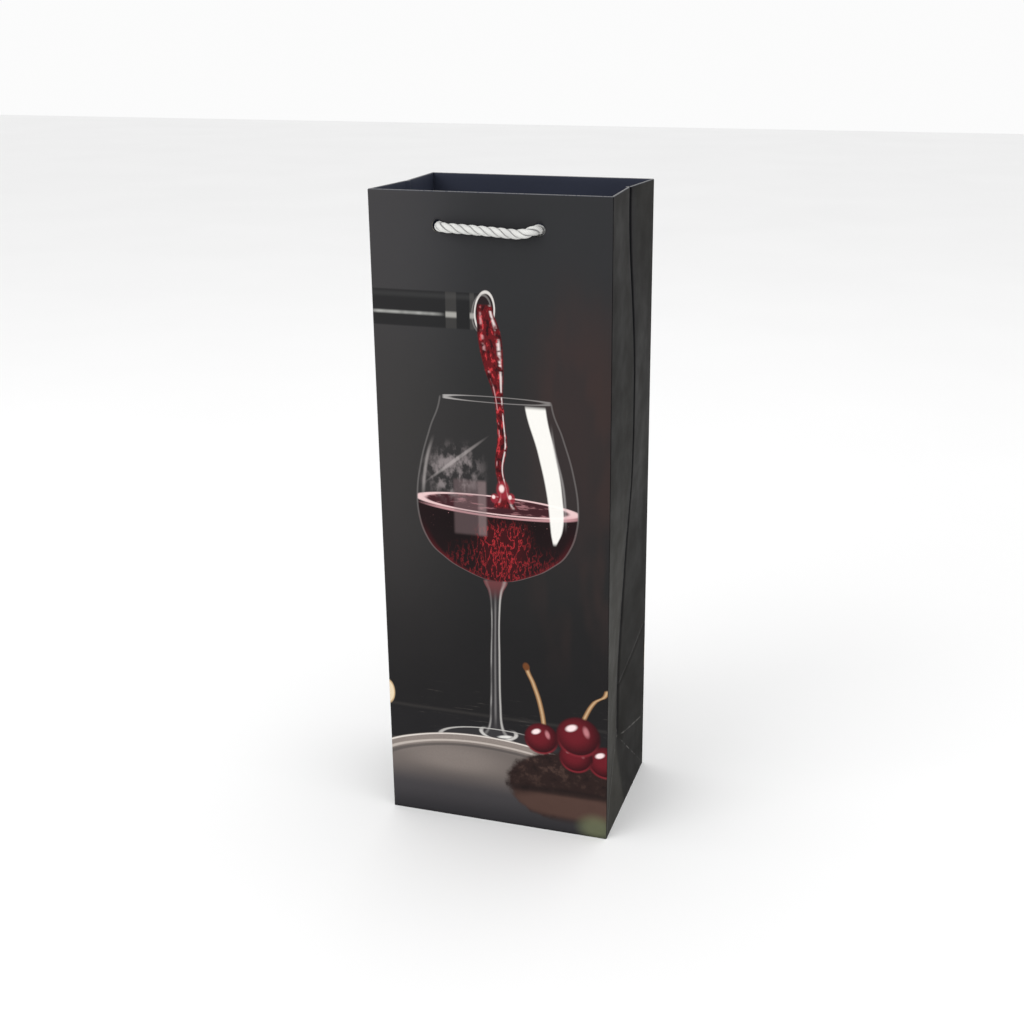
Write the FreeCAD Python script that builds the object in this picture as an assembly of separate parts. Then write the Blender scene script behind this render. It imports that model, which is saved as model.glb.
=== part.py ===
import FreeCAD, Part
import math
import os

from FreeCAD import Vector

os.makedirs("parts", exist_ok=True)

# Tall paper bag for one bottle, standing open. Millimetres. The origin is the middle of the
# footprint, +Z is up, the front panel faces -Y and the width runs along X.

# The bag
width = 130.0
depth = 90.0
height = 360.0
paper = 0.35
glue = 0.05            # air left between layers that are glued
fold_gap = 0.05        # air left at a crease between two halves

# The turned-in top edge and the card inside it
hem_height = 40.0
card = 0.5
card_width = 100.0
card_height = 35.0
card_below_top = 1.5
hem_depth = 2 * glue + card + paper      # from the outer face's inner side to the hem's near face
hem_side_gap = 3.6     # keeps a hem clear of the gusset that folds onto it
gusset_hem_start = 4.6

# The rope handles
rope = 5.3
hole = 6.5
hole_below_top = 17.5
hole_x = 27.0
knot_radius = 5.1
knot_height = 11.0
tail_length = 8.0

# The folding base: below a line at 45 degrees the sides are loose paper, above it they are stiff
side_line = 8.0        # height of the line at the front edge
side_line_gap = 0.2
board = 1.0
side_flap_reach = 40.0
side_flap_taper = 10.0
side_flap_start = 2.6
board_side_gap = 2.5
board_front_gap = 5.4  # lets the board swing up against the front panel
lap_start = 2.0        # where the front flap climbs onto the back flap
lap_end = 28.0
flap_gap = 0.1

# The glue flap that closes the tube of paper, inside the back panel
seam_start = 2.0
seam_width = 15.0

half_w = width / 2
half_d = depth / 2
inner_w = half_w - paper
inner_d = half_d - paper
hole_z = height - hole_below_top
lower_edge = side_line + 2 * inner_d     # the stiff back panel starts here


def box(x0, x1, y0, y1, z0, z1):
    return Part.makeBox(x1 - x0, y1 - y0, z1 - z0, Vector(x0, y0, z0))


def prism(corners, travel):
    """A closed outline pushed along a vector."""
    outline = Part.makePolygon([Vector(*c) for c in corners + corners[:1]])
    return Part.Face(outline).extrude(Vector(*travel))


def turned(shape):
    """The same shape on the opposite side of the bag: half a turn about +Z."""
    shape = shape.copy()
    shape.rotate(Vector(0, 0, 0), Vector(0, 0, 1), 180)
    return shape


def mirrored(shape):
    """The same shape on the other side of the plane x = 0."""
    return shape.mirror(Vector(0, 0, 0), Vector(1, 0, 0))


def with_rope_holes(shape):
    for x in (-hole_x, hole_x):
        drill = Part.makeCylinder(hole / 2, 20, Vector(x, -half_d - 10, hole_z), Vector(0, 1, 0))
        shape = shape.cut(drill)
    return shape


def save(name, shape):
    solids = shape.Solids
    assert solids and shape.isValid(), name
    shape = solids[0] if len(solids) == 1 else Part.makeCompound(solids)
    shape.exportStep("parts/" + name + ".step")


# Panels, each with its outer face on the bag's outline

def front_panel(bottom):
    return with_rope_holes(box(-half_w, half_w, -half_d, -inner_d, bottom, height))


def front_card():
    top = height - card_below_top
    y = -inner_d + glue
    sheet = box(-card_width / 2, card_width / 2, y, y + card, top - card_height, top)
    return with_rope_holes(sheet)


def front_hem():
    reach = inner_w - hem_side_gap
    y = -inner_d + hem_depth - paper
    sheet = box(-reach, reach, y, y + paper, height - hem_height, height)
    fold = box(-reach, reach, -inner_d, y, height - paper, height)
    return with_rope_holes(sheet.fuse(fold).removeSplitter())


def right_gusset(front):
    """Half of the right side, from the front or back corner to the crease in the middle."""
    side = -1 if front else 1
    corner = side * (inner_d - fold_gap)
    crease = side * fold_gap
    corners = [
        (inner_w, corner, side_line + inner_d + corner),
        (inner_w, crease, side_line + inner_d + crease),
        (inner_w, crease, height),
        (inner_w, corner, height),
    ]
    return prism(corners, (paper, 0, 0))


def right_gusset_hem(front):
    side = -1 if front else 1
    y0, y1 = sorted([side * (inner_d - gusset_hem_start), side * 2 * fold_gap])
    x = inner_w - glue
    return box(x - paper, x, y0, y1, height - hem_height, height)


# The bottom

def right_base_gusset():
    """The loose paper at the foot of the right side, which folds in on top of the base."""
    reach = inner_d - fold_gap
    drop = side_line - side_line_gap
    corners = [
        (inner_w, -reach, 0),
        (inner_w, reach, 0),
        (inner_w, reach, drop + inner_d + reach),
        (inner_w, -reach, drop + inner_d - reach),
    ]
    return prism(corners, (paper, 0, 0))


def bottom_back_flap():
    reach = inner_w - flap_gap
    return box(-reach, reach, lap_start + 2 * paper, inner_d - flap_gap, 0, paper)


def bottom_front_flap():
    """Flat on the ground, then up over the edge of the back flap."""
    reach = inner_w - flap_gap
    step = paper + glue
    profile = [
        (-reach, -inner_d + flap_gap, 0),
        (-reach, lap_start, 0),
        (-reach, lap_start + paper, step),
        (-reach, lap_end, step),
        (-reach, lap_end, step + paper),
        (-reach, lap_start, step + paper),
        (-reach, lap_start - paper, paper),
        (-reach, -inner_d + flap_gap, paper),
    ]
    return prism(profile, (2 * reach, 0, 0))


def bottom_right_flap(z):
    x = inner_w - flap_gap
    y = inner_d - side_flap_start
    corners = [
        (x, -y, z),
        (x, y, z),
        (x - side_flap_reach, y - side_flap_taper, z),
        (x - side_flap_reach, -y + side_flap_taper, z),
    ]
    return prism(corners, (0, 0, paper))


def base_board(z):
    x = inner_w - board_side_gap
    return box(-x, x, -inner_d + board_front_gap, inner_d - board_side_gap, z, z + board)


# Ropes: a route is a list of (x, inward distance from the panel's outer face, z)

def rope_tube(name, points, section_diameter):
    """Straight runs joined by arcs as large as the runs allow, as one swept tube."""
    points = [Vector(*p) for p in points]
    edges, radii, start = [], [], points[0]
    for before, here, after in zip(points, points[1:], points[2:]):
        back = (before - here).normalize()
        ahead = (after - here).normalize()
        half_turn = (math.pi - back.getAngle(ahead)) / 2
        set_back = 0.45 * min((before - here).Length, (after - here).Length)
        radius = set_back / math.tan(half_turn)
        bisector = (back + ahead).normalize()
        middle = here + bisector * (radius / math.cos(half_turn) - radius)
        arc_start = here + back * set_back
        arc_end = here + ahead * set_back
        edges.append(Part.makeLine(start, arc_start))
        edges.append(Part.Arc(arc_start, middle, arc_end).toShape())
        radii.append(radius)
        start = arc_end
    edges.append(Part.makeLine(start, points[-1]))
    route = Part.Wire(edges)
    first = (points[1] - points[0]).normalize()
    ring = Part.Wire(Part.makeCircle(section_diameter / 2, points[0], first))
    tube = route.makePipeShell([ring], True, False)
    expected = math.pi * section_diameter ** 2 / 4 * route.Length
    print(name, "length %.1f mm," % route.Length, "volume share %.4f," % (tube.Volume / expected))
    print("  radii", " ".join("%.1f" % r for r in radii))
    return tube


def rope_knot(top):
    """An overhand knot under the rope's end, with the cut tail below it, round about +Z."""
    x, y, z = top
    waist = rope / 2
    profile = [
        (0, 0),
        (waist, 0),
        (knot_radius * 0.85, -0.18 * knot_height),
        (knot_radius, -0.45 * knot_height),
        (knot_radius * 0.88, -0.78 * knot_height),
        (waist, -knot_height),
        (waist * 1.1, -knot_height - tail_length),
        (0, -knot_height - tail_length),
    ]
    outline = Part.makePolygon([Vector(r, 0, h) for r, h in profile + profile[:1]])
    solid = Part.Face(outline).revolve(Vector(0, 0, 0), Vector(0, 0, 1), 360)
    solid.translate(Vector(x, y, z))
    return solid


front_route = [
    (-21.5, 6.0, 221.0),
    (-21.5, 6.0, 251.0),
    (-24.2, 5.8, 285.0),
    (-26.6, 6.1, 318.0),
    (-27.0, 6.35, hole_z),
    (-27.0, -5.05, hole_z),
    (-10.0, -4.4, 341.9),
    (7.0, -4.1, 341.0),
    (18.5, -4.4, 340.2),
    (27.0, -5.05, hole_z),
    (27.0, 6.35, hole_z),
    (26.2, 6.1, 321.0),
    (23.1, 6.3, 291.0),
    (20.0, 6.0, 259.0),
    (20.0, 6.0, 231.0),
]

back_route = [
    (-20.5, 6.0, 227.0),
    (-20.5, 6.0, 256.0),
    (-22.9, 6.2, 288.0),
    (-26.0, 6.0, 320.0),
    (-27.0, 6.35, hole_z),
    (-27.0, -5.05, hole_z),
    (-12.0, -4.4, 341.0),
    (6.0, -4.2, 340.4),
    (18.0, -4.4, 341.2),
    (27.0, -5.05, hole_z),
    (27.0, 6.35, hole_z),
    (26.4, 6.0, 319.0),
    (24.0, 6.2, 287.0),
    (21.8, 6.0, 254.0),
    (21.8, 6.0, 224.0),
]


def placed(route, outward):
    """A route's points in the bag's frame. outward is -1 at the front and 1 at the back."""
    return [(x, outward * (half_d - inward), z) for x, inward, z in route]


for name, route, outward in (("front", front_route, -1), ("back", back_route, 1)):
    points = placed(route, outward)
    save(name + "_handle_rope", rope_tube(name + "_handle_rope", points, rope))
    save(name + "_left_knot", rope_knot(points[0]))
    save(name + "_right_knot", rope_knot(points[-1]))

save("front_panel", front_panel(0))
save("front_hem", front_hem())
save("front_reinforcement_card", front_card())
save("back_panel", turned(front_panel(lower_edge)))
save("back_hem", turned(front_hem()))
save("back_reinforcement_card", turned(front_card()))
save("back_lower_panel", box(-half_w, half_w, inner_d, half_d, 0, lower_edge - fold_gap))

seam_y = inner_d - glue
save("side_seam_flap", box(
    -inner_w + seam_start, -inner_w + seam_start + seam_width,
    seam_y - paper, seam_y, lower_edge + 2, height - hem_height - 2))

for front, end in ((True, "front"), (False, "rear")):
    save("right_gusset_" + end, right_gusset(front))
    save("left_gusset_" + end, mirrored(right_gusset(front)))
    save("right_gusset_%s_hem" % end, right_gusset_hem(front))
    save("left_gusset_%s_hem" % end, mirrored(right_gusset_hem(front)))

save("right_base_gusset", right_base_gusset())
save("left_base_gusset", mirrored(right_base_gusset()))
save("bottom_back_flap", bottom_back_flap())
save("bottom_front_flap", bottom_front_flap())

side_flap_z = 2 * (paper + glue)
save("bottom_right_flap", bottom_right_flap(side_flap_z))
save("bottom_left_flap", mirrored(bottom_right_flap(side_flap_z)))
save("base_board", base_board(side_flap_z + paper + glue))
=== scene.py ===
import math

import bmesh
import bpy
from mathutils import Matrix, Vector, noise


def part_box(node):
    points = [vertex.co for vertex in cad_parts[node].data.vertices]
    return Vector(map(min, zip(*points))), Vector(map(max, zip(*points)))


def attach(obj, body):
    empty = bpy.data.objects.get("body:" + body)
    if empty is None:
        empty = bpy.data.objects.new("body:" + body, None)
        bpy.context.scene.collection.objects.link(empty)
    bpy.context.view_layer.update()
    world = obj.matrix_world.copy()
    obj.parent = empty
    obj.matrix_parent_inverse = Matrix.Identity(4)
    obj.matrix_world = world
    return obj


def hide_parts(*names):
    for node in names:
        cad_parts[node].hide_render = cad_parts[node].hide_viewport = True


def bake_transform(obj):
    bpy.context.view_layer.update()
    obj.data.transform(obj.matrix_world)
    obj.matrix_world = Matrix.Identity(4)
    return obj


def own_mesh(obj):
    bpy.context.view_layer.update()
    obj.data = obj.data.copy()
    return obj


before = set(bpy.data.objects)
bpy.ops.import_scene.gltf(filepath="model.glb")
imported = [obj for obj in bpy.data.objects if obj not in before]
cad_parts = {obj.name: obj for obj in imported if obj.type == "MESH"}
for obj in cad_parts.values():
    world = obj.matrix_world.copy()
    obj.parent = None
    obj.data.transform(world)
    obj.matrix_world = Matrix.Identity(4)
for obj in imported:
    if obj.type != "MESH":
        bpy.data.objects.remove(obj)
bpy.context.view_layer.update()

MM = 0.001

# Sizes, in millimetres, from the frame

LOW, HIGH = [Vector(corner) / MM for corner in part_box("front_panel")]
HEM_LOW, HEM_HIGH = [Vector(corner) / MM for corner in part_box("front_hem")]
HALF_WIDTH = HIGH.x
HALF_DEPTH = -LOW.y
HEIGHT = HIGH.z
PAPER = HIGH.y - LOW.y
FOLD_RADIUS = (HEM_HIGH.y - LOW.y) / 2                   # of the turned-in top edge
HEM_BOTTOM = HEM_LOW.z
LOWER_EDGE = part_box("back_panel")[0][2] / MM             # the stiff back panel starts here
SIDE_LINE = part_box("right_gusset_front")[0][2] / MM      # and a side's, at its front edge
HALF_INSIDE = HALF_DEPTH - PAPER

# Sizes of what the frame doesn't give, in millimetres

HOLE = 6.5
HOLE_X = 27.0
HOLE_Z = HEIGHT - 17.5
ROPE = 5.3
STRAND_PITCH = 15.5
STRANDS = 3
STRAND_STEP = 0.6                   # between the rings of vertices round a strand
STRAND_WIDEN = 1.15                 # a strand's width to its thickness
KNOT_TIGHTEN = 0.92                 # the rope's thickness in a knot to its usual one
SHOWN_PAPER = 0.9 * PAPER           # a little thinner than the solid it stands for
DRILL_DEPTH = 12.0
FOOT_APEX = 41.0                    # where a side's middle crease ends, above the ground
FOOT_SLOPE = 0.16                   # how the level crease there drops towards the back
FOOT_LAP = 1.2                      # how far loose paper reaches up behind a stiff lower edge
FOOT_TUCK = 0.45                    # and how far behind it stands there
TUCK_BAND = 2.5                     # over this height it moves back
BULGE = 0.45                        # how far the middle of a panel stands out
PANEL_WAVES = 0.7                   # how uneven the front and back panels are
SIDE_WAVES = 0.8                    # and the sides
HEM_NARROWER = 1.6                  # each way, so that the hems clear one another at the corners
PANEL_SEED = 3.0                    # of the waves, with a panel's or a side's sign added
SIDE_SEED = 11.0


def colour(red, green, blue):
    """A screen colour, 0 to 255, as a shader's linear one."""
    def linear(value):
        value /= 255
        return value / 12.92 if value <= 0.04045 else ((value + 0.055) / 1.055) ** 2.4
    return (linear(red), linear(green), linear(blue), 1.0)


PALE_FILM = colour(150, 148, 144)        # where the film has rubbed off at the top fold; on the sides also the colour of the painted crease highlights


# Camera

def make_camera():
    """The photographer's place, with a small shift that frames the bag."""
    data = bpy.data.cameras.new("camera")
    camera = bpy.data.objects.new("camera", data)
    bpy.context.scene.collection.objects.link(camera)
    data.sensor_width = 36
    data.lens = 47.8
    data.shift_x = -0.05
    data.shift_y = -0.03
    data.clip_start = 0.02
    camera.location = Vector((229.7, -695.6, 435.4)) * MM
    camera.rotation_euler = (math.radians(90 - 18.24), 0, math.radians(16.3))
    bpy.context.scene.camera = camera


make_camera()


# Shader nodes

class Graph:
    """Short calls for building one material's nodes. A value is a number, a tuple or a socket."""

    def __init__(self, name):
        self.material = bpy.data.materials.new(name)
        self.material.use_nodes = True
        self.tree = self.material.node_tree
        self.shader = self.tree.nodes["Principled BSDF"]
        self.place = self.add("ShaderNodeTexCoord").outputs["Object"]

    def add(self, kind, **settings):
        node = self.tree.nodes.new(kind)
        for key, value in settings.items():
            setattr(node, key, value)
        return node

    def put(self, socket, value):
        if isinstance(value, bpy.types.NodeSocket):
            self.tree.links.new(value, socket)
        else:
            socket.default_value = value

    def math(self, operation, a, b=0.0, c=0.0, clamp=False):
        node = self.add("ShaderNodeMath", operation=operation, use_clamp=clamp)
        for socket, value in zip(node.inputs, (a, b, c)):
            self.put(socket, value)
        return node.outputs[0]

    def ramp(self, value, start, end, low=0.0, high=1.0):
        """From low to high, smoothly, as value goes from start to end."""
        node = self.add("ShaderNodeMapRange", interpolation_type="SMOOTHSTEP")
        for socket, item in zip(node.inputs, (value, start, end, low, high)):
            self.put(socket, item)
        return node.outputs[0]

    def blend(self, under, over, share):
        """One colour over another, by a share from 0 to 1."""
        node = self.add("ShaderNodeMix", data_type="RGBA")
        self.put(node.inputs[0], share)
        self.put(node.inputs[6], under)
        self.put(node.inputs[7], over)
        return node.outputs[2]

    def noise(self, place, scale, detail=2.0, roughness=0.5, stretch=(1, 1, 1)):
        mapping = self.add("ShaderNodeMapping")
        self.put(mapping.inputs["Vector"], place)
        mapping.inputs["Scale"].default_value = stretch
        node = self.add("ShaderNodeTexNoise")
        self.put(node.inputs["Vector"], mapping.outputs[0])
        node.inputs["Scale"].default_value = scale
        node.inputs["Detail"].default_value = detail
        node.inputs["Roughness"].default_value = roughness
        return node.outputs["Fac"]

    def bump(self, height, distance, strength, normal=None):
        node = self.add("ShaderNodeBump")
        node.inputs["Strength"].default_value = strength
        node.inputs["Distance"].default_value = distance
        self.put(node.inputs["Height"], height)
        if normal:
            self.put(node.inputs["Normal"], normal)
        return node.outputs[0]

    def axes(self):
        """The point's x, y and z, in metres."""
        node = self.add("ShaderNodeSeparateXYZ")
        self.put(node.inputs[0], self.place)
        return node.outputs

    def set(self, **inputs):
        """Fills the shader's sockets, named with _ for a space."""
        for key, value in inputs.items():
            self.put(self.shader.inputs[key.replace("_", " ")], value)


def laminate_finish(graph, base, ior=1.2, dent=0.0006):
    """Matte film over dark printed paper: fine tooth, faint dents and light wear at the top fold.
    dent is their depth in metres."""
    grain = graph.noise(graph.place, 2600, 2)
    dents = graph.noise(graph.place, 22, 3)
    z = graph.axes()[2]
    scuff = graph.noise(graph.place, 900, 3, 0.7)
    top = graph.ramp(z, (HEIGHT - 0.4) * MM, (HEIGHT - 0.05) * MM)
    pale_marks = graph.math("MULTIPLY", top, graph.ramp(scuff, 0.25, 0.55), clamp=True)
    base = graph.blend(base, PALE_FILM, graph.math("MULTIPLY", pale_marks, 0.6))
    graph.set(Base_Color=base)
    graph.set(Roughness=graph.ramp(graph.noise(graph.place, 60, 3), 0.2, 0.8, 0.46, 0.6))
    graph.set(IOR=ior)
    low = graph.bump(dents, dent, 0.5)
    graph.set(Normal=graph.bump(grain, 0.00002, 0.5, low))


def laminate(name, tint):
    """Matte film over paper of one colour."""
    graph = Graph(name)
    patches = graph.noise(graph.place, 14, 3)
    darker = tuple(0.86 * value for value in tint[:3]) + (1,)
    laminate_finish(graph, graph.blend(darker, tint, graph.ramp(patches, 0.3, 0.7)))
    return graph.material


def side_laminate(name):
    """The plain laminate of a side, creased, with painted shade and light: a painted shadow down the
    shut middle crease, painted shade along the edge folds and beside the crease near the top, a
    painted lit band on the lower front half, and painted highlights along the lower creases, broken
    up like rubbed film.
    """
    graph = Graph(name)
    _, y, z = [graph.math("DIVIDE", axis, MM) for axis in graph.axes()]
    aside = graph.math("ABSOLUTE", y)
    patches = graph.noise(graph.place, 14, 3, 0.5, (1, 1, 0.35))
    base = graph.blend(colour(29, 28, 27), colour(34, 33, 31), graph.ramp(patches, 0.3, 0.7))
    high = graph.ramp(z, 170, 300)
    shade = graph.math("MULTIPLY", graph.ramp(y, 16.0, 0.5, 0.0, 0.6), graph.ramp(y, -2.0, 0.0))
    base = graph.blend(base, colour(16, 16, 20), graph.math("MULTIPLY", shade, high))
    # painted light: the front half of the side lighter lower down
    lit_front_band = graph.math("MULTIPLY", graph.ramp(y, -0.5, -6.0), graph.ramp(z, 230, 110))
    base = graph.blend(base, colour(56, 55, 51), graph.math("MULTIPLY", lit_front_band, 0.8))
    # painted shade along both edge folds of the side
    edge = graph.ramp(aside, HALF_DEPTH - 2.0, HALF_DEPTH - 0.5)
    base = graph.blend(base, colour(14, 14, 17), graph.math("MULTIPLY", edge, 0.7))
    above = graph.ramp(z, HALF_DEPTH - 6, HALF_DEPTH)
    # painted shadow: a near-black line down the middle crease, weaker lower down
    crease_shadow = graph.math("MULTIPLY", graph.ramp(y, -0.6, -0.1), graph.ramp(y, 3.4, 2.6))
    crease_shadow = graph.math("MULTIPLY", crease_shadow, above)
    crease_shadow = graph.math("MULTIPLY", crease_shadow, graph.ramp(z, 60, 235, 0.45, 1.0))
    base = graph.blend(base, colour(3, 3, 6), crease_shadow)
    # painted highlights: a pale line along the lower middle crease, the slanting creases and the
    # level crease at the foot, broken up by noise like rubbed film
    middle = graph.math("MULTIPLY", graph.ramp(aside, 0.9, 0.3), above)
    crease_breakup = graph.ramp(graph.noise(graph.place, 130, 3, 0.7), 0.42, 0.62)
    pale_marks = graph.math("MULTIPLY", middle, graph.ramp(z, 235, 150))
    slope = graph.math("MULTIPLY_ADD", aside, -FOOT_APEX / HALF_DEPTH, FOOT_APEX)
    off = graph.math("ABSOLUTE", graph.math("SUBTRACT", z, slope))
    near = graph.ramp(aside, HALF_DEPTH, 0.0, 0.25, 1.0)
    diagonal_crease_highlight = graph.math("MULTIPLY", graph.ramp(off, 0.7, 0.2), near)
    level = graph.math("MULTIPLY_ADD", y, -FOOT_SLOPE, FOOT_APEX)
    off = graph.math("ABSOLUTE", graph.math("SUBTRACT", z, level))
    across = graph.math("MULTIPLY", graph.ramp(off, 0.8, 0.2), graph.ramp(y, 0.0, 1.0))
    for share, strength in ((pale_marks, 0.35), (diagonal_crease_highlight, 0.35), (across, 0.25)):
        share = graph.math("MULTIPLY", graph.math("MULTIPLY", share, crease_breakup), strength)
        base = graph.blend(base, PALE_FILM, share)
    laminate_finish(graph, base, 1.1, 0.0002)
    return graph.material


def bare_paper(name, tint, fibre=0.12):
    """Uncoated paper or card, with fibres."""
    graph = Graph(name)
    fibres = graph.noise(graph.place, 700, 4, 0.65, (1, 1, 0.35))
    clouds = graph.noise(graph.place, 45, 4)
    darker = tuple((1 - fibre) * value for value in tint[:3]) + (1,)
    base = graph.blend(darker, tint, graph.ramp(fibres, 0.3, 0.7))
    base = graph.blend(base, darker, graph.ramp(clouds, 0.45, 0.75, 0, 0.5))
    graph.set(Base_Color=base, Specular_IOR_Level=0.25)
    graph.set(Roughness=graph.ramp(clouds, 0.2, 0.8, 0.8, 0.92))
    graph.set(Normal=graph.bump(fibres, 0.00005, 0.7))
    return graph.material


def rope_yarn():
    """Silvery white twisted cord: fine threads along each strand, painted shade in the grooves where
    the strands turn in.
    """
    graph = Graph("rope_yarn")
    uv = graph.add("ShaderNodeUVMap", uv_map="yarn").outputs[0]
    split = graph.add("ShaderNodeSeparateXYZ")
    graph.put(split.inputs[0], uv)
    around, along = split.outputs[0], split.outputs[1]
    turn = graph.math("MULTIPLY_ADD", around, 10.0, graph.math("MULTIPLY", along, 190.0))
    thread = graph.math("ABSOLUTE", graph.math("SINE", graph.math("MULTIPLY", turn, math.pi)))
    fuzz = graph.noise(graph.place, 3200, 3, 0.6)
    clouds = graph.noise(graph.place, 120, 3)
    base = graph.blend(colour(156, 156, 155), colour(226, 226, 222), graph.ramp(thread, 0.0, 0.6))
    base = graph.blend(base, colour(188, 188, 187), graph.ramp(clouds, 0.4, 0.8, 0, 0.6))
    # painted shade on the inner side of each strand, in the grooves between the strands
    strand_groove_shade = graph.math("ABSOLUTE", graph.math("SUBTRACT", graph.math("FRACT", around), 0.5))
    base = graph.blend(base, colour(84, 84, 88), graph.ramp(strand_groove_shade, 0.34, 0.22, 0.0, 0.92))
    graph.set(Base_Color=base, Roughness=graph.ramp(fuzz, 0.2, 0.8, 0.42, 0.62))
    graph.set(Sheen_Weight=0.25, Sheen_Roughness=0.5, Specular_IOR_Level=0.45)
    fine = graph.bump(fuzz, 0.00006, 0.5)
    graph.set(Normal=graph.bump(thread, 0.00014, 0.8, fine))
    return graph.material


# Ropes. A route is across, inward from the panel and up, in millimetres, from knot to knot.

FRONT_ROUTE = [
    (-21.5, 6.0, 221.0),
    (-21.5, 6.0, 251.0),
    (-24.2, 5.8, 285.0),
    (-26.6, 6.1, 318.0),
    (-27.0, 6.35, HOLE_Z),
    (-25.3, -5.05, HOLE_Z),
    (-10.0, -4.4, 341.9),
    (7.0, -4.1, 341.0),
    (18.5, -4.4, 340.2),
    (25.3, -5.05, HOLE_Z),
    (27.0, 6.35, HOLE_Z),
    (26.2, 6.1, 321.0),
    (23.1, 6.3, 291.0),
    (20.0, 6.0, 259.0),
    (20.0, 6.0, 231.0),
]

BACK_ROUTE = [
    (-20.5, 6.0, 227.0),
    (-20.5, 6.0, 256.0),
    (-22.9, 6.2, 288.0),
    (-26.0, 6.0, 320.0),
    (-27.0, 6.35, HOLE_Z),
    (-25.3, -5.05, HOLE_Z),
    (-12.0, -4.4, 341.0),
    (6.0, -4.2, 340.4),
    (18.0, -4.4, 341.2),
    (25.3, -5.05, HOLE_Z),
    (27.0, 6.35, HOLE_Z),
    (26.4, 6.0, 319.0),
    (24.0, 6.2, 287.0),
    (21.8, 6.0, 254.0),
    (21.8, 6.0, 224.0),
]

# An overhand knot hanging from the rope's end: across, towards the viewer, and up
KNOT_ROUTE = [
    (0.0, 0.0, 1.0),
    (0.0, 0.3, -1.2),
    (2.1, 1.3, -3.4),
    (2.2, 1.2, -6.0),
    (0.0, 1.6, -7.4),
    (-2.3, 0.6, -6.2),
    (-2.0, -1.5, -3.6),
    (0.4, -1.9, -2.8),
    (2.2, -1.2, -4.6),
    (1.2, 0.0, -7.2),
    (0.2, 0.0, -10.0),
    (0.3, 0.2, -16.5),
]


def smooth_line(points):
    """Points read from a NURBS spline with these control points, in metres."""
    curve = bpy.data.curves.new("route", "CURVE")
    curve.dimensions = "3D"
    spline = curve.splines.new("NURBS")
    spline.points.add(len(points) - 1)
    for point, place in zip(spline.points, points):
        point.co = (*place, 1)
    spline.order_u = 3
    spline.use_endpoint_u = True
    spline.resolution_u = 24
    route = bpy.data.objects.new("route", curve)
    mesh = bpy.data.meshes.new_from_object(route)
    line = [vertex.co.copy() for vertex in mesh.vertices]
    bpy.data.objects.remove(route)
    bpy.data.curves.remove(curve)
    bpy.data.meshes.remove(mesh)
    return line


def evenly(line, step):
    """The same line with points a fixed step apart."""
    lengths = [0.0]
    for a, b in zip(line, line[1:]):
        lengths.append(lengths[-1] + (b - a).length)
    count = max(2, round(lengths[-1] / step))
    result, k = [], 0
    for n in range(count + 1):
        at = lengths[-1] * n / count
        while k < len(line) - 2 and lengths[k + 1] < at:
            k += 1
        span = max(lengths[k + 1] - lengths[k], 1e-9)
        result.append(line[k].lerp(line[k + 1], min((at - lengths[k]) / span, 1.0)))
    return result


def frames_along(line):
    """Each point of a line with its direction, a direction across that doesn't twist, and the
    distance travelled."""
    tangent = (line[1] - line[0]).normalized()
    across = tangent.orthogonal().normalized()
    frames, travelled = [], 0.0
    for k, point in enumerate(line):
        ahead = (line[min(k + 1, len(line) - 1)] - line[max(k - 1, 0)]).normalized()
        across = (tangent.rotation_difference(ahead) @ across).normalized()
        tangent = ahead
        if k:
            travelled += (point - line[k - 1]).length
        frames.append((point, tangent, across, travelled))
    return frames


def strand_rings(build, centres, thick, sides):
    """Rings of vertices round one strand, a little wider than it is thick."""
    rings = []
    for k, (centre, out, _) in enumerate(centres):
        near = centres[min(k + 1, len(centres) - 1)][0] - centres[max(k - 1, 0)][0]
        along = near.normalized()
        first = (out - out.dot(along) * along).normalized()
        second = along.cross(first)
        ring = []
        for side in range(sides):
            turn = 2 * math.pi * side / sides
            wide = thick * (STRAND_WIDEN * math.sin(turn) * second + math.cos(turn) * first)
            ring.append(build.verts.new(centre + wide))
        rings.append(ring)
    return rings


def strands_mesh(name, line, diameter, sides=12, loosen=0.0):
    """Strands laid right-handed round a line, as one mesh. loosen spreads them at the end."""
    offset = 0.245 * diameter
    thick = 0.235 * diameter
    frames = frames_along(evenly(line, STRAND_STEP * MM))
    total = frames[-1][3]
    mesh = bpy.data.meshes.new(name)
    build = bmesh.new()
    yarn = build.loops.layers.uv.new("yarn")
    for strand in range(STRANDS):
        centres = []
        for point, tangent, across, at in frames:
            angle = 2 * math.pi * (strand / STRANDS + at / (STRAND_PITCH * MM))
            loose = 1 + loosen * max(0.0, (at - 0.75 * total) / (0.25 * total)) ** 2
            out = math.cos(angle) * across + math.sin(angle) * tangent.cross(across)
            centres.append((point + offset * loose * out, out, at))
        rings = strand_rings(build, centres, thick, sides)
        for k in range(len(rings) - 1):
            for side in range(sides):
                after = (side + 1) % sides
                corners = (rings[k][side], rings[k][after], rings[k + 1][after], rings[k + 1][side])
                face = build.faces.new(corners)
                face.smooth = True
                marks = ((side, k), (side + 1, k), (side + 1, k + 1), (side, k + 1))
                for loop, (u, v) in zip(face.loops, marks):
                    loop[yarn].uv = (u / sides, centres[v][2] * 10)
        build.faces.new(reversed(rings[0]))
        build.faces.new(rings[-1])
    build.to_mesh(mesh)
    build.free()
    return mesh


def add_piece(name, mesh, *materials):
    piece = bpy.data.objects.new(name, mesh)
    bpy.context.scene.collection.objects.link(piece)
    for material in materials:
        mesh.materials.append(material)
    return piece


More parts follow.
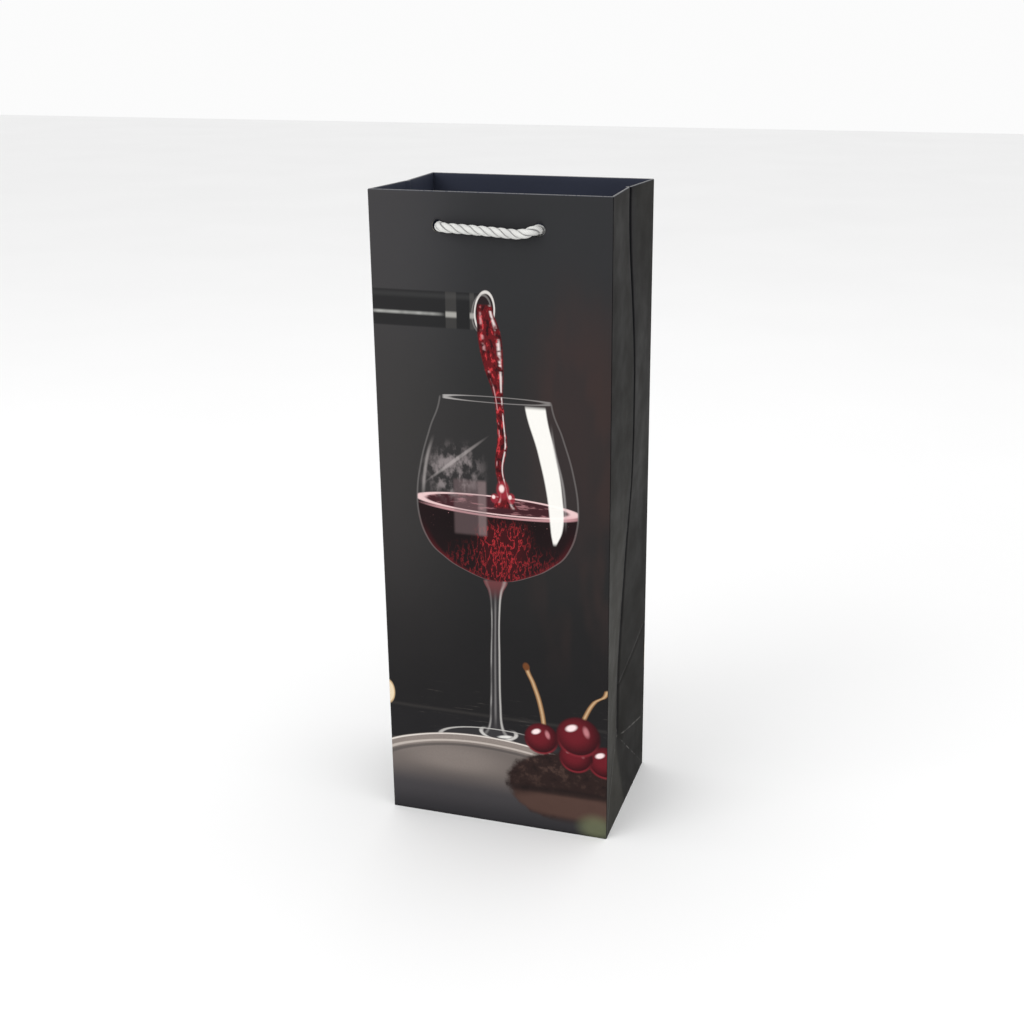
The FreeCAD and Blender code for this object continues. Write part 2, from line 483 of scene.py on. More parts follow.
def rope_handle(side, route, outward, body):
    """One handle and its two knots. outward is -1 at the front and 1 at the back."""
    def place(x, inward, z):
        return Vector((x, outward * (HALF_DEPTH - inward), z)) * MM

    line = smooth_line([place(*point) for point in route])
    rope = add_piece(side + "_handle_strands", strands_mesh("strands", line, ROPE * MM), YARN)
    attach(rope, body)
    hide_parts(side + "_handle_rope")
    for end, top in (("left", route[0]), ("right", route[-1])):
        flip = 1 if end == "left" else -1
        points = [place(top[0] + flip * x, top[1] + y, top[2] + z) for x, y, z in KNOT_ROUTE]
        tied = strands_mesh("tied", smooth_line(points), KNOT_TIGHTEN * ROPE * MM, 10, 0.5)
        knot = add_piece(side + "_" + end + "_tied_knot", tied, YARN)
        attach(knot, body)
        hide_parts(side + "_" + end + "_knot")
    tuple(line[0])
    [tuple(point) for point in line]


YARN = rope_yarn()
rope_handle("front", FRONT_ROUTE, -1, "front")
rope_handle("back", BACK_ROUTE, 1, "back")


# The picture printed on the front and the back. Places are millimetres across and up the panel.

class Picture(Graph):
    """A material whose colour is painted in layers, each a shape filled with one colour."""

    def __init__(self, name, facing):
        super().__init__(name)
        x, _, z = self.axes()
        self.x = self.math("MULTIPLY", x, facing / MM)
        self.z = self.math("DIVIDE", z, MM)
        join = self.add("ShaderNodeCombineXYZ")
        self.put(join.inputs[0], self.x)
        self.put(join.inputs[1], self.z)
        self.spot = join.outputs[0]
        self.up = self.math("DIVIDE", self.z, HEIGHT)
        self.paint = colour(27, 26, 27)

    def lay(self, shade, share, strength=1.0):
        """Paints a screen colour over what is there, where share is above 0."""
        if strength != 1.0:
            share = self.math("MULTIPLY", share, strength)
        self.paint = self.blend(self.paint, colour(*shade), share)

    def both(self, *shares):
        """Where all of these shapes are."""
        result = shares[0]
        for share in shares[1:]:
            result = self.math("MULTIPLY", result, share)
        return result

    def between(self, value, low, high, soft):
        """A band with soft edges."""
        start = self.ramp(value, low - soft, low + soft)
        return self.both(start, self.ramp(value, high + soft, high - soft))

    def reach(self, x, z, wide, tall, tilt=0.0):
        """1 on the outline of an ellipse, less inside it and more outside."""
        node = self.add("ShaderNodeMapping", vector_type="TEXTURE")
        self.put(node.inputs["Vector"], self.spot)
        node.inputs["Location"].default_value = (x, z, 0)
        node.inputs["Rotation"].default_value = (0, 0, math.radians(tilt))
        node.inputs["Scale"].default_value = (wide, tall, 1)
        length = self.add("ShaderNodeVectorMath", operation="LENGTH")
        self.put(length.inputs[0], node.outputs[0])
        return length.outputs["Value"]

    def ellipse(self, x, z, wide, tall, soft=0.06, tilt=0.0):
        return self.ramp(self.reach(x, z, wide, tall, tilt), 1 + soft, 1 - soft)

    def ring(self, x, z, wide, tall, line=0.05, tilt=0.0):
        away = self.math("SUBTRACT", self.reach(x, z, wide, tall, tilt), 1.0)
        return self.ramp(self.math("ABSOLUTE", away), line, line * 0.3)

    def curve(self, points):
        """A number that changes with height, through (height, value) points from low to high."""
        width = 2 * HALF_WIDTH
        node = self.add("ShaderNodeFloatCurve")
        line = node.mapping.curves[0]
        shown = [(z / HEIGHT, value / width + 0.5) for z, value in points]
        line.points[0].location = shown[0]
        line.points[-1].location = shown[-1]
        for place in shown[1:-1]:
            line.points.new(*place)
        node.mapping.update()
        self.put(node.inputs["Value"], self.up)
        return self.math("MULTIPLY_ADD", node.outputs[0], width, -HALF_WIDTH)

    def inset(self, middle, half):
        """How far a point is inside a shape given by its middle line and half width, in mm."""
        away = self.math("ABSOLUTE", self.math("SUBTRACT", self.x, middle))
        return self.math("SUBTRACT", half, away)

    def streak(self, middle, half, low, high, soft=0.5, ends=2.0):
        """A long upright shape from its middle line and half width, each given as a curve."""
        inside = self.ramp(self.inset(self.curve(middle), self.curve(half)), -soft, soft)
        return self.both(inside, self.between(self.z, low, high, ends))


def paint_backdrop(p):
    p.lay((46, 46, 45), p.ramp(p.z, 110, 250))
    p.lay((59, 60, 63), p.ramp(p.z, 225, 350))
    p.lay((34, 34, 35), p.both(p.ramp(p.x, -64, 4), p.ramp(p.z, 80, 190)), 0.7)
    p.lay((58, 55, 55), p.both(p.ramp(p.x, 0, -62), p.ramp(p.z, 60, 190)), 0.55)
    patches = p.noise(p.spot, 0.035, 2, 0.5, (1.6, 0.45, 1))
    where = p.both(p.ramp(p.x, 12, 40), p.between(p.z, 120, 300, 35))
    p.lay((60, 44, 41), p.both(where, p.ramp(patches, 0.42, 0.68)), 0.45)
    p.lay((70, 46, 44), p.ellipse(44, 236, 18, 56, 0.9), 0.25)


def paint_bottle(p):
    neck = p.both(p.between(p.z, 290, 309, 0.6), p.ramp(p.x, -3.5, -5.5))
    p.lay((24, 24, 25), neck, 0.75)
    p.lay((66, 66, 66), p.both(neck, p.between(p.z, 305.5, 308.0, 1.2)), 0.35)
    gleam = p.noise(p.spot, 0.08, 2, 0.5, (1, 0.2, 1))
    band = p.both(p.between(p.z, 296.4, 297.8, 0.7), p.ramp(p.x, -23, -32))
    p.lay((188, 188, 184), p.both(band, p.ramp(gleam, 0.3, 0.62, 0.3, 1.0)), 0.7)
    for x, half, strength in ((-21.0, 3.0, 0.32), (-9.4, 1.2, 0.4)):
        band = p.both(neck, p.between(p.x, x - half, x + half, 0.4))
        p.lay((84, 82, 80), band, strength)
        p.lay((190, 188, 182), p.both(band, p.between(p.z, 295.8, 298.6, 0.8)), 0.6)
    p.lay((34, 24, 26), p.ellipse(-2.6, 299.6, 5.6, 10.6, 0.06, -5))
    p.lay((222, 217, 213), p.ring(-2.6, 299.6, 5.3, 10.3, 0.12, -5), 0.85)
    p.lay((150, 146, 144), p.ring(-4.2, 298.8, 5.2, 9.6, 0.1, -5), 0.4)


def bowl_half(p):
    """Half the width of the glass's bowl at each height."""
    return p.curve([(0, 0), (150.2, 0), (151.5, 7), (155, 17), (162, 30), (173, 40.5), (186, 44.8),
                    (197, 45.4), (215, 42.8), (235, 37.0), (253.5, 30.7), (360, 30)])


def paint_wine(p, inset):
    inside = p.ramp(inset, -0.3, 0.6)
    p.lay((50, 47, 48), p.both(inside, p.between(p.z, 196, 253, 0.8)), 0.3)
    below = p.both(inside, p.between(p.z, 150, 195, 0.6))
    p.lay((27, 12, 15), below)
    p.lay((16, 8, 10), p.both(below, p.ellipse(-4, 180, 34, 16, 0.5)), 0.8)
    p.lay((96, 22, 30), p.both(below, p.ramp(inset, 5, 0), p.ramp(p.z, 186, 160)), 0.6)
    swirl = p.noise(p.spot, 0.2, 4, 0.65, (1.7, 0.55, 1))
    lines = p.ramp(p.math("ABSOLUTE", p.math("SUBTRACT", swirl, 0.5)), 0.03, 0.006)
    drip = p.both(below, p.ellipse(6, 172, 13, 22, 0.5), p.ramp(p.z, 190, 178))
    p.lay((80, 13, 20), drip, 0.45)
    p.lay((196, 50, 56), p.both(drip, lines), 0.7)
    wide = p.both(below, p.ellipse(6, 160, 32, 12, 0.5))
    p.lay((150, 36, 42), p.both(wide, lines), 0.5)
    specks = p.ramp(p.noise(p.spot, 0.9, 2, 0.5), 0.7, 0.76)
    p.lay((214, 150, 150), p.both(below, specks, p.ramp(p.z, 176, 190)), 0.6)
    surface = p.both(inside, p.ellipse(2.2, 195.2, 44.0, 5.2, 0.05, -1.6))
    p.lay((58, 26, 32), surface)
    ripple = p.noise(p.spot, 0.26, 4, 0.65, (0.35, 1.8, 1))
    p.lay((190, 134, 138), p.both(surface, p.ramp(ripple, 0.53, 0.64)), 0.5)
    p.lay((236, 202, 202), p.both(inside, p.ring(2.2, 195.0, 43.6, 5.0, 0.11, -1.6)), 0.85)
    p.lay((212, 158, 162), p.both(p.ring(2.2, 193.8, 43.0, 5.2, 0.16, -1.6), inside,
                                  p.ramp(p.z, 194, 190.5)), 0.7)


def paint_pour(p):
    middle = [(0, 7.2), (195, 7.2), (205, 6.2), (216, 4.4), (230, 6.0), (243, 5.4), (256, 4.2),
              (275, 1.4), (289, -0.4), (302, -2.6), (360, -2.6)]
    half = [(0, 5), (194, 6.5), (200, 3.4), (212, 2.2), (226, 2.9), (240, 2.2), (256, 2.7),
            (270, 5.2), (287, 6.4), (302, 4.2), (360, 4)]
    line, wide = p.curve(middle), p.curve(half)
    inset = p.inset(line, wide)
    stretch = p.between(p.z, 194, 303, 1.0)
    body = p.both(p.ramp(inset, -0.3, 0.4), stretch)
    curls = p.noise(p.spot, 0.34, 3, 0.6, (1.1, 0.55, 1))
    p.lay((94, 16, 22), body)
    p.lay((34, 8, 12), p.both(body, p.ramp(curls, 0.5, 0.62)), 0.9)
    p.lay((204, 60, 64), p.both(body, p.ramp(curls, 0.43, 0.36)), 0.65)
    share = p.math("DIVIDE", p.math("SUBTRACT", p.x, line), wide)
    broken = p.ramp(p.noise(p.spot, 0.2, 2, 0.5, (0.6, 1, 1)), 0.4, 0.52)
    p.lay((238, 224, 222), p.both(p.between(share, 0.55, 0.78, 0.14), stretch, broken), 0.85)
    p.lay((226, 170, 172), p.both(p.between(share, -0.7, -0.5, 0.12), stretch,
                                  p.math("SUBTRACT", 1.0, broken)), 0.6)
    for x, z, wide, tall in ((6, 204, 3.4, 5.2), (10.6, 199.5, 2.2, 3.0), (1.4, 199, 2.2, 2.6)):
        p.lay((150, 42, 54), p.ellipse(x, z, wide, tall, 0.25), 0.8)
        p.lay((246, 226, 224), p.ellipse(x - 0.6, z + 0.8, wide * 0.42, tall * 0.4, 0.4), 0.85)


def paint_glass(p, inset):
    height = p.between(p.z, 151, 253.5, 0.8)
    outline = p.ramp(p.math("ABSOLUTE", inset), 0.75, 0.15)
    p.lay((150, 146, 145), p.both(outline, height), 0.26)
    p.lay((96, 74, 74), p.both(outline, p.between(p.z, 151, 186, 4)), 0.5)
    rim = p.both(p.ring(3.1, 253.4, 30.7, 1.6, 0.22), p.between(p.x, -26.6, 32.8, 0.8))
    p.lay((170, 166, 164), rim, 0.42)
    p.lay((206, 202, 200), p.both(rim, p.ramp(p.x, -6, -26)), 0.35)
    p.lay((242, 240, 235), p.streak(
        [(0, 35), (172, 34.6), (186, 36.0), (205, 34.6), (225, 30.8), (253, 24.2), (360, 24)],
        [(0, 0), (173, 0.4), (184, 3.2), (205, 4.2), (230, 4.8), (253, 5.6), (360, 6)],
        176, 250.5, 0.5, 1.4), 0.92)
    p.lay((176, 172, 171), p.streak(
        [(0, 40), (180, 41.0), (205, 40.0), (235, 33.8), (360, 30)],
        [(0, 0.6), (360, 0.6)], 190, 236, 0.5, 8), 0.42)
    p.lay((168, 162, 160), p.streak(
        [(0, -36), (196, -39.6), (216, -37.2), (240, -31.0), (360, -28)],
        [(0, 0.8), (360, 0.8)], 200, 226, 0.7, 7), 0.5)
    smear = p.ramp(p.noise(p.spot, 0.13, 3, 0.6, (1.4, 0.8, 1)), 0.42, 0.66)
    p.lay((158, 148, 148), p.both(p.ellipse(-22, 212, 15, 13, 0.5, 28), smear), 0.6)
    p.lay((186, 178, 176), p.ellipse(-20, 219, 17, 0.9, 0.5, 38), 0.35)
    square = p.both(p.between(p.x, -21.8, -3.2, 1.0), p.between(p.z, 177, 208, 1.2))
    p.lay((124, 104, 106), square, 0.34)
    p.lay((150, 132, 132), p.both(square, p.between(p.x, -8.0, -3.4, 0.8)), 0.3)


def paint_stem(p):
    middle = [(0, 0.4), (100, 0.2), (152, 1.0), (360, 1)]
    half = [(0, 20), (52.5, 13), (57, 8.5), (63, 4.8), (76, 3.7), (105, 3.2), (132, 3.0),
            (144, 4.2), (151.5, 7.2), (360, 7)]
    line, wide = p.curve(middle), p.curve(half)
    inset = p.inset(line, wide)
    stretch = p.between(p.z, 54, 151, 0.8)
    inside = p.both(p.ramp(inset, -0.2, 0.3), stretch)
    p.lay((50, 48, 50), inside, 0.85)
    share = p.math("DIVIDE", p.math("SUBTRACT", p.x, line), wide)
    flow = p.ramp(p.noise(p.spot, 0.06, 2, 0.5, (1, 1, 1)), 0.35, 0.6, 0.35, 1.0)
    p.lay((196, 193, 190), p.both(p.between(share, -0.86, -0.66, 0.12), stretch, flow), 0.5)
    p.lay((214, 211, 207), p.both(p.between(share, 0.6, 0.86, 0.12), stretch), 0.6)
    p.lay((150, 147, 146), p.both(p.between(share, -0.2, 0.1, 0.14), p.between(p.z, 66, 140, 8)),
          0.45)
    p.lay((120, 60, 62), p.both(inside, p.ramp(p.z, 138, 150)), 0.6)
    p.lay((58, 56, 58), p.ellipse(0.5, 52.5, 37, 8.2, 0.08), 0.5)
    p.lay((200, 197, 193), p.both(p.ring(0.5, 52.5, 34.6, 8.0, 0.055), p.ramp(p.x, 24, 6)), 0.7)
    p.lay((214, 211, 207), p.both(p.ring(1.5, 58.6, 10.5, 4.4, 0.16), p.ramp(p.z, 62, 58)), 0.75)
    p.lay((235, 233, 229), p.ellipse(5.5, 56.5, 4.2, 0.9, 0.4, 8), 0.8)


def paint_table(p):
    p.lay((30, 29, 31), p.ramp(p.z, 70, 64), 0.7)
    p.lay((78, 74, 71), p.between(p.z, 67.4, 69.0, 1.0), 0.22)
    scratch = p.noise(p.spot, 0.3, 4, 0.7, (0.12, 2.2, 1))
    p.lay((96, 90, 86), p.both(p.ramp(scratch, 0.6, 0.72), p.between(p.z, 44, 82, 8)), 0.4)
    p.lay((224, 206, 176), p.ellipse(-66, 75, 4.4, 7.4, 0.12))
    p.lay((186, 152, 108), p.ring(-66, 75, 4.2, 7.2, 0.12), 0.7)


def paint_plate(p):
    whole = p.ellipse(-8, 22, 78, 33, 0.02)
    top = p.ramp(p.z, 26, 38)
    speckle = p.ramp(p.noise(p.spot, 0.8, 3, 0.7), 0.3, 0.7, 0.75, 1.0)
    p.lay((106, 98, 94), whole)
    p.lay((150, 139, 132), p.both(whole, speckle, p.ramp(p.reach(-8, 22, 78, 33), 0.72, 0.92),
                                  p.ramp(p.z, 30, 48)), 0.7)
    p.lay((138, 128, 122), p.both(p.ellipse(-26, 38, 26, 8, 0.6), speckle), 0.6)
    p.lay((60, 58, 61), p.both(whole, p.ramp(p.z, 34, 16)), 0.95)
    p.lay((222, 214, 207), p.both(p.ring(-8, 22, 77.4, 32.6, 0.018), top), 0.9)
    p.lay((196, 186, 178), p.both(p.ring(-8, 21.4, 73.0, 29.0, 0.03), top), 0.75)
    p.lay((46, 44, 46), p.both(p.ring(-8, 20.9, 70, 26.9, 0.045), top), 0.5)
    p.lay((40, 39, 42), p.ramp(p.z, 18, 0), 0.85)


def paint_cake(p):
    crumbs = p.noise(p.spot, 0.14, 5, 0.62)
    bulge = p.math("MULTIPLY_ADD", crumbs, 0.22, p.reach(44, 28, 38, 23, -4))
    whole = p.both(p.ramp(bulge, 1.16, 1.04), p.ramp(p.z, 4, 12))
    p.lay((40, 27, 25), whole)
    p.lay((82, 62, 55), p.both(whole, p.ramp(crumbs, 0.5, 0.66), p.ramp(p.z, 16, 44)), 0.6)
    p.lay((24, 16, 16), p.both(whole, p.ramp(crumbs, 0.46, 0.34)), 0.7)
    p.lay((92, 68, 60), p.both(p.ellipse(44, 17, 40, 8, 0.35), whole), 0.65)
    p.lay((26, 18, 18), p.both(p.ellipse(42, 26, 36, 2.2, 0.6), whole), 0.6)
    p.lay((104, 108, 82), p.ellipse(58.7, 6, 9, 7, 0.6), 0.75)


def paint_cherries(p):
    stalks = (
        ([(0, 28.6), (66, 28.4), (80, 26.2), (92, 22.4), (103, 18.2), (360, 18)], 66, 102),
        ([(0, 50), (70, 50.6), (78, 53.2), (86, 58.0), (91, 64.0), (360, 66)], 70, 93),
    )
    for middle, low, high in stalks:
        p.lay((150, 112, 76), p.streak(middle, [(0, 1.3), (360, 1.3)], low, high, 0.5, 0.6))
        p.lay((206, 178, 140), p.streak(middle, [(0, 0.5), (360, 0.5)], low, high, 0.5, 1.0), 0.7)
    p.lay((104, 62, 34), p.ellipse(18.2, 102, 1.9, 2.4, 0.3, 16))
    for x, z, size in ((64.0, 48.5, 10.0), (47.0, 49.5, 9.6), (26.9, 58.6, 9.8), (48.3, 62.4, 12.6)):
        reach = p.reach(x, z, size, size * 0.97)
        whole = p.ramp(reach, 1.09, 0.93)
        p.lay((40, 8, 14), whole)
        p.lay((104, 24, 34), p.both(whole, p.ellipse(x - 0.14 * size, z + 0.16 * size,
                                                    0.8 * size, 0.74 * size, 0.6)), 0.9)
        p.lay((172, 52, 64), p.both(whole, p.ramp(reach, 0.86, 0.96), p.ramp(p.z, z, z - size)), 0.45)
        p.lay((248, 226, 226), p.ellipse(x - 0.32 * size, z + 0.42 * size,
                                         0.26 * size, 0.15 * size, 0.4, 24), 0.95)
        p.lay((222, 150, 156), p.ellipse(x + 0.36 * size, z + 0.3 * size,
                                         0.12 * size, 0.24 * size, 0.6, 18), 0.55)


def printed_laminate(name, facing):
    """Facing is 1 where the picture is seen with +X to the right, and -1 on the back."""
    p = Picture(name, facing)
    paint_backdrop(p)
    paint_bottle(p)
    inset = p.inset(2.4, bowl_half(p))
    paint_table(p)
    paint_wine(p, inset)
    paint_pour(p)
    paint_glass(p, inset)
    paint_stem(p)
    paint_plate(p)
    paint_cake(p)
    paint_cherries(p)
    laminate_finish(p, p.paint)
    return p.material


# Sheets of paper

def smooth_step(value, start, end):
    """From 0 to 1, smoothly, as value goes from start to end."""
    share = min(max((value - start) / (end - start), 0.0), 1.0)
    return share * share * (3 - 2 * share)


def spread(start, end, count):
    """Numbers from start to end, count equal steps apart."""
    return [start + (end - start) * k / count for k in range(count + 1)]


def grid_mesh(name, rows, hem_row=None):
    """A sheet through rows of points. Its outer side has material 0, and from the hem row on 2."""
    build = bmesh.new()
    grid = [[build.verts.new(point) for point in row] for row in rows]
    for k, (low, high) in enumerate(zip(grid, grid[1:])):
        for n in range(len(low) - 1):
            face = build.faces.new((low[n], low[n + 1], high[n + 1], high[n]))
            face.smooth = True
            face.material_index = 2 if hem_row and k >= hem_row else 0
    mesh = bpy.data.meshes.new(name)
    build.to_mesh(mesh)
    build.free()
    return mesh


def sheet_mesh(name, across, bottom, place):
    """A sheet standing up from bottom(a), with its top edge turned in. place(a, inward, z) puts
    a point on the bag."""
    top = HEIGHT - FOLD_RADIUS
    rows = []
    for share in spread(0.0, 1.0, 120):
        rows.append([place(a, 0.0, bottom(a) + (top - bottom(a)) * share) for a in across])
    hem_row = len(rows)
    for angle in spread(0.0, math.pi, 8)[1:]:
        inward = FOLD_RADIUS * (1 - math.cos(angle))
        z = top + FOLD_RADIUS * math.sin(angle)
        rows.append([place(a, inward, z) for a in across])
    for z in spread(top, HEM_BOTTOM, 16)[1:]:
        rows.append([place(a, 2 * FOLD_RADIUS, z) for a in across])
    return grid_mesh(name, rows, hem_row)


def thicken(piece):
    """Gives a sheet of paper its thickness, inward. Its back has the material after its face's."""
    modifier = piece.modifiers.new("thickness", "SOLIDIFY")
    modifier.thickness = SHOWN_PAPER * MM
    modifier.offset = -1
    modifier.use_even_offset = True
    modifier.material_offset = 1
    modifier.material_offset_rim = 0
    apply_modifiers(piece)


def apply_modifiers(piece):
    bpy.context.view_layer.update()
    seen = piece.evaluated_get(bpy.context.evaluated_depsgraph_get())
    mesh = bpy.data.meshes.new_from_object(seen)
    piece.modifiers.clear()
    piece.data = mesh


def punch(piece, outward):
    """Round holes for the rope through a panel and its hem."""
    radius = HOLE / 2 * MM
    for x in (-HOLE_X, HOLE_X):
        build = bmesh.new()
        bmesh.ops.create_cone(build, cap_ends=True, segments=48, radius1=radius,
                              radius2=radius, depth=DRILL_DEPTH * MM)
        mesh = bpy.data.meshes.new("drill")
        build.to_mesh(mesh)
        build.free()
        drill = add_piece("drill", mesh)
        drill.rotation_euler = (math.pi / 2, 0, 0)
        drill.location = (x * MM, outward * HALF_DEPTH * MM, HOLE_Z * MM)
        cut = piece.modifiers.new("hole", "BOOLEAN")
        cut.object = drill
        cut.solver = "EXACT"
        apply_modifiers(piece)
        bpy.data.objects.remove(drill)


def soft_edge(inset, radius=0.6):
    """How far a face falls back this close to a rounded fold."""
    if inset >= radius:
        return 0.0
    return radius - math.sqrt(max(radius ** 2 - (radius - inset) ** 2, 0.0))


def waves(a, z, seed, size):
    """Slow unevenness of a paper face, in mm, the same for the same seed."""
    return size * noise.noise(Vector((a * 0.018, z * 0.011, seed)))


def panel_across():
    """Where a front or back panel has points across, closest together at its edges."""
    edge = [0.0, 0.08, 0.2, 0.36, 0.6, 1.2]
    inner = spread(-HALF_WIDTH + 2.4, HALF_WIDTH - 2.4, 62)
    return [e - HALF_WIDTH for e in edge] + inner + [HALF_WIDTH - e for e in reversed(edge)]


def panel(name, outward, body, bottom, *nodes):
    """The front or back panel with its hem, from one edge fold to the other."""
    def place(a, inward, z):
        inset = HALF_WIDTH - abs(a)
        calm = smooth_step(inset, 0, 18) * (1 - smooth_step(z, 285, 318)) * smooth_step(z, 4, 30)
        inward += soft_edge(inset) if inward < 0.5 * FOLD_RADIUS else 0.0
        inward += calm * (waves(a, z, PANEL_SEED + outward, PANEL_WAVES) - BULGE)
        reach = HALF_WIDTH - HEM_NARROWER * smooth_step(inward, 0, 2 * FOLD_RADIUS)
        x = max(-reach, min(reach, a))
        return Vector((-outward * x, outward * (HALF_DEPTH - inward), z)) * MM

    mesh = sheet_mesh(name, panel_across(), lambda a: bottom, place)
    piece = add_piece(name, mesh, PRINTED[outward], BARE, HEM_PAPER, LINING)
    thicken(piece)
    punch(piece, outward)
    finish_paper(piece, body, *nodes)
    return piece


def finish_paper(piece, body, *nodes):
    if body:
        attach(piece, body)
    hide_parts(*nodes)


def crease_depth(z):
    """How far the middle crease of a side stands in, in mm, at this height."""
    low = 5.4 * (1 - smooth_step(z, 70, 215))
    return low - 1.6 * smooth_step(z, 150, 240) + 4.2 * smooth_step(z, 255, 350) + 0.3


def side_inward(y, z, side):
    """Inward offset of a side's face: the middle crease and the fine groove just behind it,
    the flat triangle at its foot, and waves."""
    edge_share = 1 - abs(y) / HALF_DEPTH
    foot_share = z / FOOT_APEX
    share = min(edge_share, foot_share)
    bend = FOOT_APEX - FOOT_SLOPE * y
    ridge = 1.3 * smooth_step(y, 0, 10) * max(0.0, 1 - abs(z - bend) / 14) * edge_share
    calm = smooth_step(HALF_DEPTH - abs(y), 0, 12) * smooth_step(z, 0, 30)
    calm *= 1 - smooth_step(z, 300, 320)
    tight = 0.8 + 0.9 * smooth_step(z, 120, 240)
    groove = tight * smooth_step(y, -0.1, 1.0) * (1 - smooth_step(y, 1.0, 2.8))
    groove *= smooth_step(z, FOOT_APEX, FOOT_APEX + 20)
    uneven = calm * (waves(y, z, SIDE_SEED + side, SIDE_WAVES) + 0.2)
    return crease_depth(z) * share - ridge + groove + uneven


def side_across():
    """The same for a side, closest together at its crease and its edges."""
    half = [0.0, 0.12, 0.3, 0.6] + spread(1.5, HALF_INSIDE - 1.2, 24)
    half += [HALF_INSIDE - 0.5, HALF_INSIDE - 0.06]
    return [-a for a in reversed(half[1:])] + half


def side_bottom(a, side):
    """The lower edge of a side's stiff paper. Behind the crease it is higher by what the face
    stands in, because that much more of it swings over the base when the bag folds."""
    y = side * a
    z = SIDE_LINE + HALF_INSIDE + y
    raised = 3.0 * max(0.0, side_inward(a, z, side)) + 1.0
    return z + raised * smooth_step(y, -16, -2) * smooth_step(HALF_INSIDE - y, 0, 3)


def side_gusset(name, side, nodes):
    """One side above the loose paper at its foot, with its hem, creased down its middle."""
    def place(a, inward, z):
        inward += side_inward(a, z, side)
        return Vector((side * (HALF_WIDTH - inward), side * a, z)) * MM

    mesh = sheet_mesh(name, side_across(), lambda a: side_bottom(a, side), place)
    piece = add_piece(name, mesh, PLAIN, BARE, HEM_PAPER, LINING)
    thicken(piece)
    finish_paper(piece, None, *nodes)
    return piece


def foot_gusset(name, side, node):
    """The loose triangle of paper at the foot of a side."""
    def place(a, z, edge):
        inward = side_inward(a, z, side) + FOOT_TUCK * smooth_step(z, edge - TUCK_BAND, edge)
        return Vector((side * (HALF_WIDTH - inward), side * a, z)) * MM

    rows = []
    edges = [(a, side_bottom(a, side)) for a in side_across()]
    for share in spread(0.0, 1.0, 48):
        rows.append([place(a, (edge + FOOT_LAP) * share, edge) for a, edge in edges])
    piece = add_piece(name, grid_mesh(name, rows), PLAIN, BARE)
    thicken(piece)
    finish_paper(piece, "base", node)
    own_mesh(piece)


BARE = bare_paper("bare_paper", colour(214, 212, 206))
BOARD = bare_paper("grey_board", colour(150, 144, 134), 0.2)
PLAIN = side_laminate("side_laminate")
HEM_PAPER = laminate("hem_laminate", colour(52, 56, 70))
LINING = bare_paper("hem_backing", colour(36, 38, 46))
PRINTED = {-1: printed_laminate("front_print", 1), 1: printed_laminate("back_print", -1)}
FLAP = laminate("flap_laminate", colour(48, 47, 45))

panel("front_sheet", -1, "front", 0.0, "front_panel", "front_hem")
panel("back_sheet", 1, "back", LOWER_EDGE, "back_panel", "back_hem")

for side_name, side_sign in (("right", 1), ("left", -1)):
    front_half, rear_half = side_name + "_gusset_front", side_name + "_gusset_rear"
    sheet = side_gusset(side_name + "_side_sheet", side_sign,
                        [front_half, rear_half, front_half + "_hem", rear_half + "_hem"])
    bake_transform(sheet)
foot_gusset("right_foot_sheet", 1, "right_base_gusset")
foot_gusset("left_foot_sheet", -1, "left_base_gusset")


def back_foot():
    """The loose paper at the foot of the back, which is squeezed up as the base folds behind it."""
    rows = []
    for z in spread(0.0, LOWER_EDGE + FOOT_LAP, 40):
        row = []
        for a in panel_across():
            inset = HALF_WIDTH - abs(a)
            calm = smooth_step(inset, 0, 18) * smooth_step(z, 4, 30)
            inward = soft_edge(inset) + calm * (waves(a, z, PANEL_SEED + 1, PANEL_WAVES) - BULGE)
            inward += FOOT_TUCK * smooth_step(z, LOWER_EDGE - TUCK_BAND, LOWER_EDGE)
            row.append(Vector((-a, HALF_DEPTH - inward, z)) * MM)
        rows.append(row)
    piece = add_piece("back_foot_sheet", grid_mesh("back_foot", rows), PRINTED[1], BARE)
    thicken(piece)
    finish_paper(piece, "back", "back_lower_panel")
    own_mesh(piece)


def loose_board():
    """The grey board that lies in the bottom, with cut edges a little crushed."""
    low, high = [Vector(corner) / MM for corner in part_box("base_board")]
    build = bmesh.new()
    bmesh.ops.create_cube(build, size=1)
    middle, size = (low + high) / 2, high - low
    for vertex in build.verts:
        vertex.co = Vector([m + c * s for m, c, s in zip(middle, vertex.co, size)]) * MM
    bmesh.ops.bevel(build, geom=build.edges[:], offset=0.28 * MM, segments=3, affect="EDGES")
    mesh = bpy.data.meshes.new("board")
    build.to_mesh(mesh)
    build.free()
    piece = add_piece("loose_base_board", mesh, BOARD)
    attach(piece, "base")
    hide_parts("base_board")


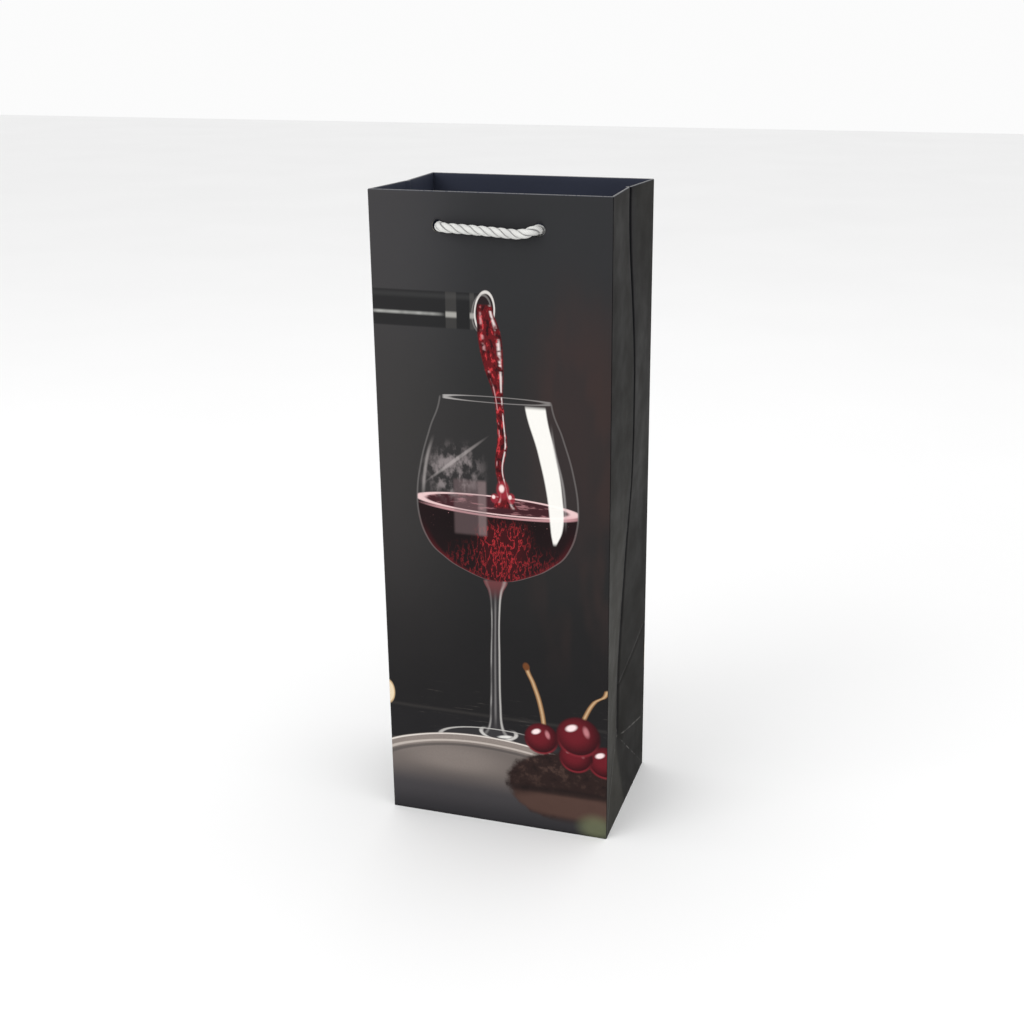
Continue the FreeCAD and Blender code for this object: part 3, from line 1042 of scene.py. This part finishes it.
def dress_cad_nodes():
    """Better materials for the flat pieces of paper and card whose shape is already right."""
    looks = {
        "bottom_front_flap": FLAP, "bottom_back_flap": FLAP, "bottom_left_flap": FLAP,
        "bottom_right_flap": FLAP, "side_seam_flap": BARE,
        "front_reinforcement_card": BOARD, "back_reinforcement_card": BOARD,
    }
    for node, material in looks.items():
        for slot in bpy.data.objects[node].material_slots:
            slot.material = material


back_foot()
loose_board()
dress_cad_nodes()


# Stage

FLOOR_HALF = 6.0                    # half its side, in metres


def set_view():
    """Plain screen colours, so that colour() says what is seen."""
    bpy.context.scene.view_settings.view_transform = "Standard"


def make_floor():
    mesh = bpy.data.meshes.new("floor")
    build = bmesh.new()
    bmesh.ops.create_grid(build, x_segments=2, y_segments=2, size=FLOOR_HALF)
    build.to_mesh(mesh)
    build.free()
    graph = Graph("pale_floor")
    cloud = graph.noise(graph.place, 3, 2)
    graph.set(Base_Color=graph.blend((0.86, 0.86, 0.86, 1), (0.9, 0.9, 0.9, 1), cloud))
    graph.set(Roughness=0.9)
    floor = add_piece("floor", mesh, graph.material)


def area_light(name, place, target, size, power):
    """A soft rectangular light. Places and sizes are in metres."""
    data = bpy.data.lights.new(name, "AREA")
    data.shape = "RECTANGLE"
    data.size, data.size_y = size
    data.energy = power
    light = bpy.data.objects.new(name, data)
    light.location = place
    light.rotation_euler = (Vector(target) - Vector(place)).to_track_quat("-Z", "Y").to_euler()
    bpy.context.scene.collection.objects.link(light)


def make_lights():
    middle = (0, 0, 0.2)
    area_light("key", (-0.9, -1.3, 1.3), middle, (1.2, 1.2), 10)
    area_light("fill", (1.6, -0.6, 0.7), middle, (1.4, 1.6), 3)
    area_light("top", (0.1, 0.3, 1.8), middle, (1.6, 1.6), 4)
    world = bpy.data.worlds.new("studio")
    world.use_nodes = True
    background = world.node_tree.nodes["Background"]
    background.inputs["Color"].default_value = (1, 1, 1, 1)
    background.inputs["Strength"].default_value = 0.97
    bpy.context.scene.world = world


set_view()
make_floor()
make_lights()
